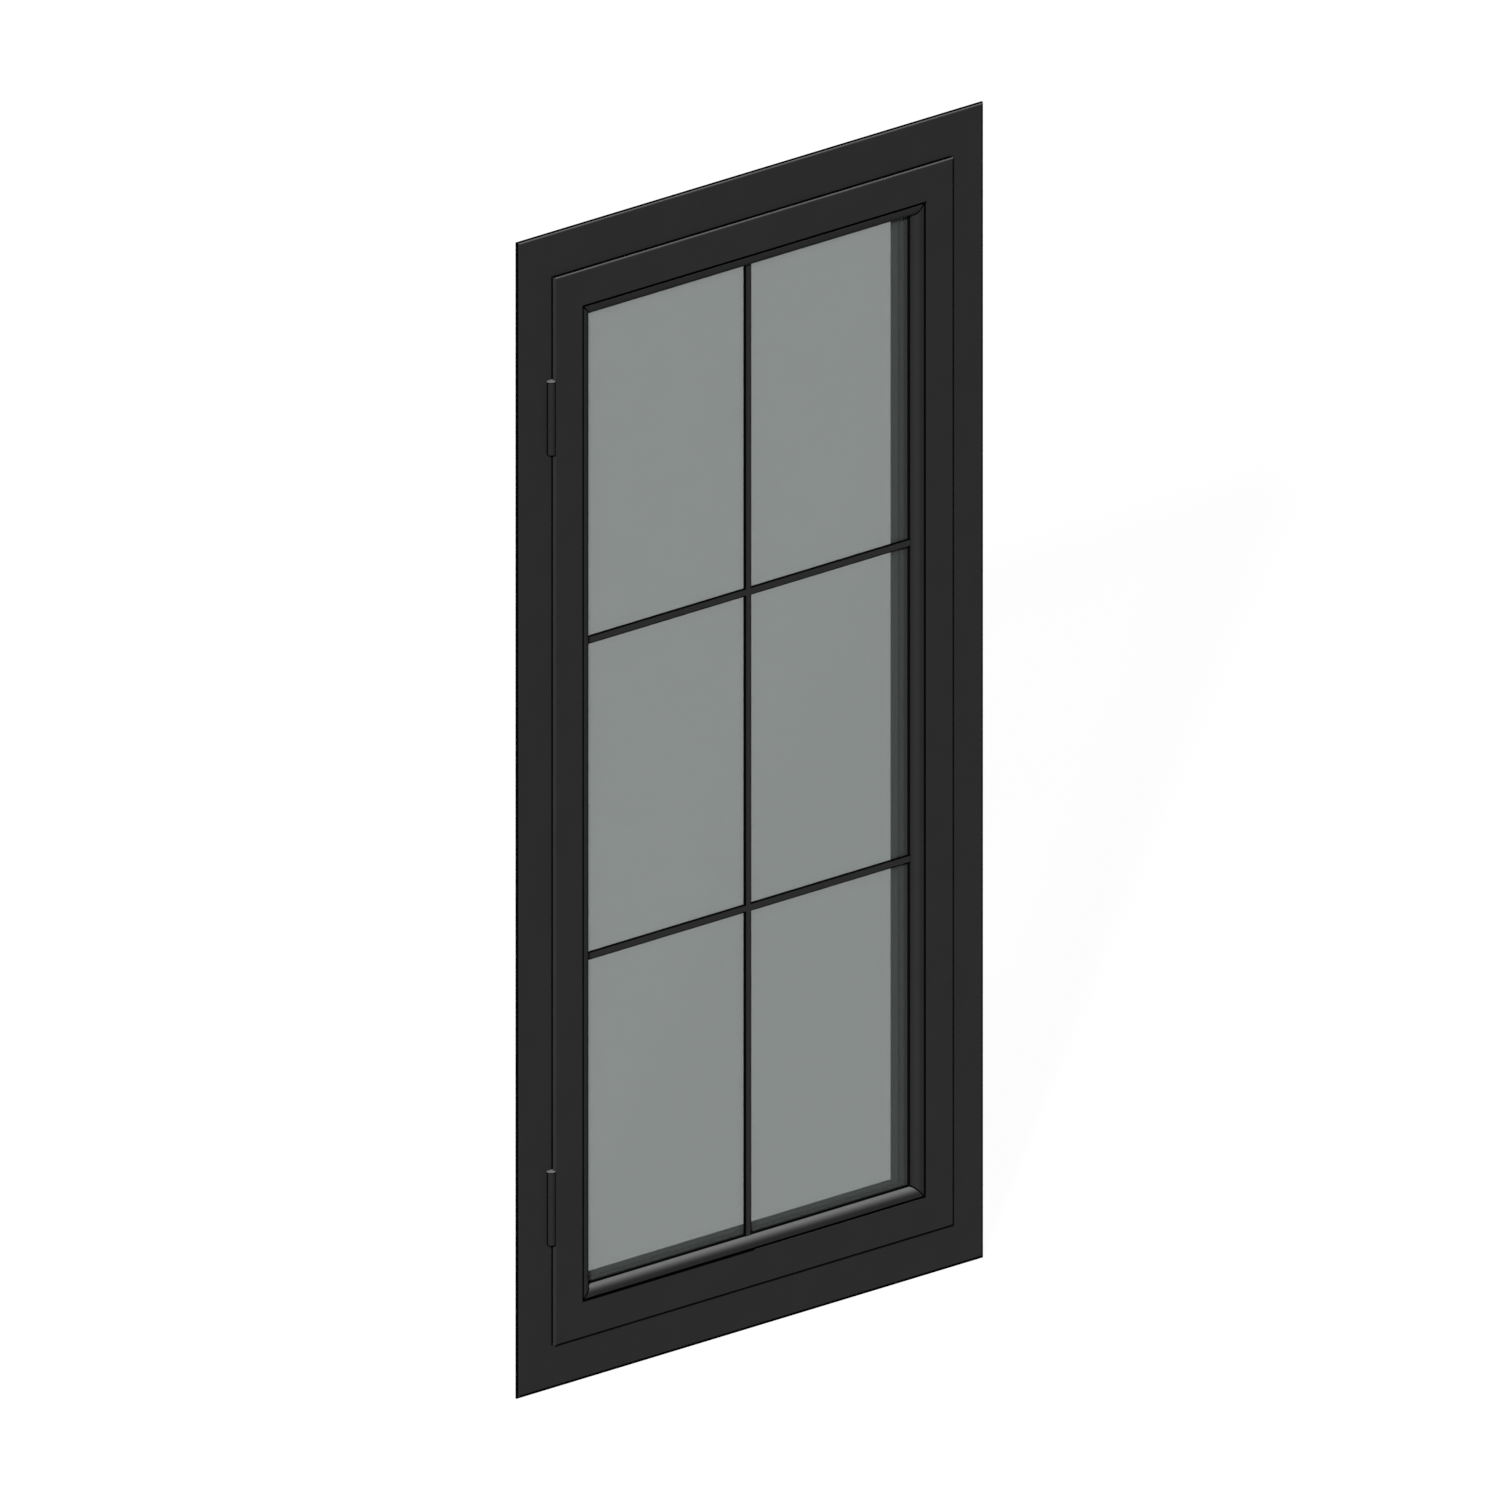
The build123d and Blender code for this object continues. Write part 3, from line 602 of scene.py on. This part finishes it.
def finishes():
    """Every material slot of the record, as a material."""
    coats = {
        "frame": (COAT_COLOUR, painted_top_light_outdoors, FRAME_TOP_LIGHT, frame_painted_shade),
        "sash": (COAT_COLOUR, painted_top_light_outdoors, SASH_TOP_LIGHT, sash_painted_shade),
        "bead": (BEAD_SHADED_COAT_COLOUR, upward, BEAD_TOP_LIGHT, bead_painted_shade_and_mitres),
        "bar": (COAT_COLOUR, upward, BAR_TOP_LIGHT, bar_painted_edge_shade),
        "hinge": (HINGE_SHADED_COAT_COLOUR, painted_highlight_on_hinge_tops, HINGE_TOP_LIGHT, barrel_painted_shade),
    }
    rubbers = {
        "gasket_rubber": "glazing_gasket_rubber",
        "edge_sealant": "edge_sealant_compound",
        "bar_tape": "bar_foam_tape",
        "seal_rubber": "weather_seal_rubber",
    }
    return {
        **{
            f"{part}_paint": powder_coat(f"{part}_powder_coat", *coat)
            for part, coat in coats.items()
        },
        **{
            slot: moulded_rubber(name, RUBBER_COLOUR, RUBBER_BLOOM)
            for slot, name in rubbers.items()
        },
        "inner_gasket_rubber": moulded_rubber(
            "inner_gasket_rubber", INNER_GASKET_COLOUR, INNER_GASKET_BLOOM,
        ),
        "spacer_metal": anodised_spacer("spacer_anodised"),
        "outer_glass": tinted_glass("outer_tinted_glass"),
        "inner_glass": tinted_glass("inner_tinted_glass"),
        "block_plastic": block_plastic("setting_block_plastic"),
        "pin_steel": bright_steel("pin_bright_steel"),
    }


def new_maker(name, inputs):
    """A Geometry Nodes tree with a mesh in, a mesh out and named inputs for its sizes."""
    tree = bpy.data.node_groups.new(name, "GeometryNodeTree")
    tree.interface.new_socket("Geometry", in_out="INPUT", socket_type="NodeSocketGeometry")
    for label, kind in inputs:
        tree.interface.new_socket(label, in_out="INPUT", socket_type=kind)
    tree.interface.new_socket("Geometry", in_out="OUTPUT", socket_type="NodeSocketGeometry")
    return tree, tree.nodes.new("NodeGroupInput").outputs, tree.nodes.new("NodeGroupOutput").inputs


def add(tree, kind, inputs, **settings):
    """One node of a maker with its settings, and its inputs set or linked."""
    node = tree.nodes.new(kind)
    for name, value in settings.items():
        setattr(node, name, value)
    for name, value in inputs.items():
        if isinstance(value, bpy.types.NodeSocket):
            tree.links.new(value, node.inputs[name])
        else:
            node.inputs[name].default_value = value
    return node.outputs[0]


def finish_maker(tree, shape, material, result):
    """Ends a tree: real geometry with its material."""
    real = add(tree, "GeometryNodeRealizeInstances", {"Geometry": shape})
    dressed = add(tree, "GeometryNodeSetMaterial", {"Geometry": real, "Material": material})
    tree.links.new(dressed, result["Geometry"])


def made(name, base, tree, settings):
    """A plain mesh object from a tree, its base mesh and its sizes."""
    piece = placed(name, base)
    maker = piece.modifiers.new("maker", "NODES")
    maker.node_group = tree
    for item in tree.interface.items_tree:
        if item.in_out == "INPUT" and item.name in settings:
            maker[item.identifier] = settings[item.name]
    evaluated = piece.evaluated_get(bpy.context.evaluated_depsgraph_get())
    mesh = bpy.data.meshes.new_from_object(evaluated)
    piece.modifiers.remove(maker)
    piece.data = mesh
    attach(piece, "root")
    return piece


def screw_maker():
    """Countersunk cross-recess screws in a row up each hinge leaf."""
    tree, given, result = new_maker("countersunk_screws", (
        ("First Screw", "NodeSocketVector"),
        ("Screws", "NodeSocketInt"),
        ("Screw Spacing", "NodeSocketVector"),
        ("Hinges", "NodeSocketInt"),
        ("Hinge Spacing", "NodeSocketVector"),
        ("Turn", "NodeSocketVector"),
        ("Head Radius", "NodeSocketFloat"),
        ("Shank Radius", "NodeSocketFloat"),
        ("Head Depth", "NodeSocketFloat"),
        ("Shank Length", "NodeSocketFloat"),
        ("Steel", "NodeSocketMaterial"),
    ))
    head = add(tree, "GeometryNodeMeshCone", {
        "Vertices": 24, "Depth": given["Head Depth"],
        "Radius Top": given["Shank Radius"], "Radius Bottom": given["Head Radius"],
    })
    cut = add(
        tree, "GeometryNodeMeshBoolean", {"Mesh 1": head}, operation="DIFFERENCE", solver="EXACT",
    )
    for size in RECESS_ARMS:
        arm = add(tree, "GeometryNodeMeshCube", {"Size": size})
        tree.links.new(arm, cut.node.inputs["Mesh 2"])
    shank = add(tree, "GeometryNodeMeshCylinder", {
        "Vertices": 16, "Radius": given["Shank Radius"], "Depth": given["Shank Length"],
    })
    half = add(tree, "ShaderNodeMath", {0: given["Shank Length"], 1: 0.5}, operation="MULTIPLY")
    lift = add(tree, "ShaderNodeMath", {0: half, 1: given["Head Depth"]}, operation="ADD")
    place = add(tree, "ShaderNodeCombineXYZ", {"Z": lift})
    shank = add(tree, "GeometryNodeTransform", {"Geometry": shank, "Translation": place})
    screw = add(tree, "GeometryNodeJoinGeometry", {})
    tree.links.new(cut, screw.node.inputs["Geometry"])
    tree.links.new(shank, screw.node.inputs["Geometry"])
    column = add(tree, "GeometryNodeMeshLine", {
        "Count": given["Screws"], "Offset": given["Screw Spacing"],
    })
    hinges = add(tree, "GeometryNodeMeshLine", {
        "Count": given["Hinges"], "Start Location": given["First Screw"],
        "Offset": given["Hinge Spacing"],
    })
    turn = add(tree, "FunctionNodeEulerToRotation", {"Euler": given["Turn"]})
    row = add(tree, "GeometryNodeInstanceOnPoints", {
        "Points": column, "Instance": screw, "Rotation": turn,
    })
    rows = add(tree, "GeometryNodeInstanceOnPoints", {"Points": hinges, "Instance": row})
    finish_maker(tree, rows, given["Steel"], result)
    return tree


def perforation_maker():
    """Small oval perforations along the spacer bars' faces, as thin sheets that carry painted
    shade.
    """
    tree, given, result = new_maker("spacer_perforations", (
        ("Pitch", "NodeSocketFloat"),
        ("Half Length", "NodeSocketFloat"),
        ("Half Width", "NodeSocketFloat"),
        ("Stand", "NodeSocketFloat"),
        ("Dark", "NodeSocketMaterial"),
    ))
    rows = add(tree, "GeometryNodeMeshToCurve", {"Mesh": given["Geometry"]})
    points = add(
        tree, "GeometryNodeResampleCurve", {"Curve": rows, "Length": given["Pitch"]},
        mode="LENGTH",
    )
    size = add(tree, "ShaderNodeCombineXYZ", {
        "X": given["Half Length"], "Y": given["Half Width"], "Z": given["Stand"],
    })
    disc = add(tree, "GeometryNodeMeshCylinder", {"Vertices": 8, "Radius": 1.0, "Depth": 1.0})
    oval = add(tree, "GeometryNodeTransform", {"Geometry": disc, "Scale": size})
    tangent = add(tree, "GeometryNodeInputTangent", {})
    along = add(tree, "FunctionNodeAlignRotationToVector", {"Vector": tangent}, axis="X")
    square = add(
        tree, "FunctionNodeAlignRotationToVector", {"Rotation": along, "Vector": (0.0, 1.0, 0.0)},
        axis="Y", pivot_axis="X",
    )
    ovals = add(tree, "GeometryNodeInstanceOnPoints", {
        "Points": points, "Instance": oval, "Rotation": square,
    })
    finish_maker(tree, ovals, given["Dark"], result)
    return tree


def hinge_screws(steel):
    """Two screws in each leaf of both hinges."""
    tree = screw_maker()
    sizes = {
        "Screws": 2,
        "Hinges": 2,
        "Hinge Spacing": (0.0, 0.0, HINGE_SPACING),
        "Head Radius": 0.0037,
        "Shank Radius": 0.00195,
        "Head Depth": 0.00165,
        "Shank Length": 0.0125,
        "Steel": steel,
    }
    rows = (
        ("frame_leaf_screws", FRAME_LEAF_SCREW, FRAME_LEAF_SCREW_SPACING, -math.pi / 2),
        ("sash_leaf_screws", SASH_LEAF_SCREW, SASH_LEAF_SCREW_SPACING, math.pi / 2),
    )
    for name, first, spacing, turn in rows:
        made(name, bpy.data.meshes.new(name), tree, {
            **sizes,
            "First Screw": first,
            "Screw Spacing": (0.0, 0.0, spacing),
            "Turn": (0.0, turn, 0.0),
        })


def spacer_perforations(dark):
    """Two rows of perforations, thin sheets with painted shade, on each of the four spacer bars."""
    across = HALF_OPENING_WIDTH + SPACER_FACE
    along = HALF_OPENING_HEIGHT + SPACER_FACE
    across_end = across - PERFORATION_END_CLEARANCE
    along_end = along - PERFORATION_END_CLEARANCE
    points = []
    for depth in PERFORATION_DEPTHS:
        for side in (-1, 1):
            points += [(side * across, depth, MIDDLE_HEIGHT + end * along_end) for end in (-1, 1)]
            points += [(end * across_end, depth, MIDDLE_HEIGHT + side * along) for end in (-1, 1)]
    base = bpy.data.meshes.new("perforation_rows")
    base.from_pydata(points, [(start, start + 1) for start in range(0, len(points), 2)], [])
    made("spacer_perforations", base, perforation_maker(), {
        "Pitch": 0.006,
        "Half Length": 0.0009,
        "Half Width": 0.00025,
        "Stand": 0.00006,
        "Dark": dark,
    })


def dress_nodes(materials):
    """Gives each CAD node the finish that the record names for it."""
    for subpart in frame["record"]["subparts"]:
        node = NODES[subpart["node"]]
        node.data.materials.clear()
        node.data.materials.append(materials[subpart["material_slot"]])


def place_camera():
    """A parallel camera at the photograph's angles."""
    data = bpy.data.cameras.new("camera")
    data.type = "ORTHO"
    data.ortho_scale = VIEW_WIDTH
    data.clip_end = CAMERA_REACH
    camera = placed("camera", data)
    flat = math.cos(VIEW_ELEVATION)
    back = Vector((
        math.sin(VIEW_AZIMUTH) * flat,
        -math.cos(VIEW_AZIMUTH) * flat,
        math.sin(VIEW_ELEVATION),
    ))
    turn = (-back).to_track_quat("-Z", "Y")
    right = turn @ Vector((1, 0, 0))
    up = turn @ Vector((0, 1, 0))
    aim = right * VIEW_RIGHT_OF_ORIGIN + up * VIEW_ABOVE_ORIGIN
    camera.rotation_mode = "QUATERNION"
    camera.rotation_quaternion = turn
    camera.location = aim + back * CAMERA_DISTANCE
    bpy.context.scene.camera = camera


def seen_directly(tree):
    """1 for camera, glossy and transmission rays, 0 for the rest."""
    ray = tree.nodes.new("ShaderNodeLightPath").outputs
    return either(tree, ray["Is Camera Ray"], ray["Is Glossy Ray"], ray["Is Transmission Ray"])


def light_world():
    """White to the eye and to reflections, and a soft even fill for surfaces."""
    world = bpy.data.worlds.new("studio")
    bpy.context.scene.world = world
    world.use_nodes = True
    tree = world.node_tree
    tree.nodes.clear()
    output = tree.nodes.new("ShaderNodeOutputWorld")
    backdrop = tree.nodes.new("ShaderNodeBackground")
    strength = ranged(tree, seen_directly(tree), FILL_STRENGTH, 1.0)
    tree.links.new(strength, backdrop.inputs["Strength"])
    tree.links.new(backdrop.outputs["Background"], output.inputs["Surface"])


def light_from(name, direction, strength, softness):
    """A distant studio lamp."""
    data = bpy.data.lights.new(name, "SUN")
    data.energy = strength
    data.angle = softness
    lamp = placed(name, data)
    lamp.rotation_mode = "QUATERNION"
    lamp.rotation_quaternion = Vector(direction).to_track_quat("Z", "Y")


def lay_floor():
    """Pale floor that reads white where the lamps reach it and keeps the window's shadow."""
    half = FLOOR_SIZE / 2
    level = CAD_BOX[0].z
    corners = [(x * half, y * half, level) for x, y in ((-1, -1), (1, -1), (1, 1), (-1, 1))]
    mesh = bpy.data.meshes.new("floor")
    mesh.from_pydata(corners, [], [(0, 1, 2, 3)])
    floor = placed("floor", mesh)
    material, tree, shader = new_material("pale_floor")
    set_inputs(shader, {
        "Base Color": (*FLOOR_COLOUR, 1.0), "Roughness": 1.0, "Specular IOR Level": 0.0,
    })
    white = tree.nodes.new("ShaderNodeEmission")
    white.inputs["Strength"].default_value = FLOOR_WHITE_STRENGTH
    share = mix_surfaces(tree, shader.outputs["BSDF"], white.outputs["Emission"])
    tree.links.new(ranged(tree, seen_directly(tree), 0.0, FLOOR_WHITE_SHARE), share)
    mesh.materials.append(material)


materials = finishes()
dress_nodes(materials)
hinge_screws(materials["pin_steel"])
spacer_perforations(perforation_shade("spacer_perforation_shade"))
place_camera()
light_world()
light_from("key", KEY_DIRECTION, KEY_STRENGTH, KEY_SOFTNESS)
light_from("back", BACK_DIRECTION, BACK_STRENGTH, BACK_SOFTNESS)
lay_floor()

bpy.context.scene.view_settings.view_transform = "Standard"
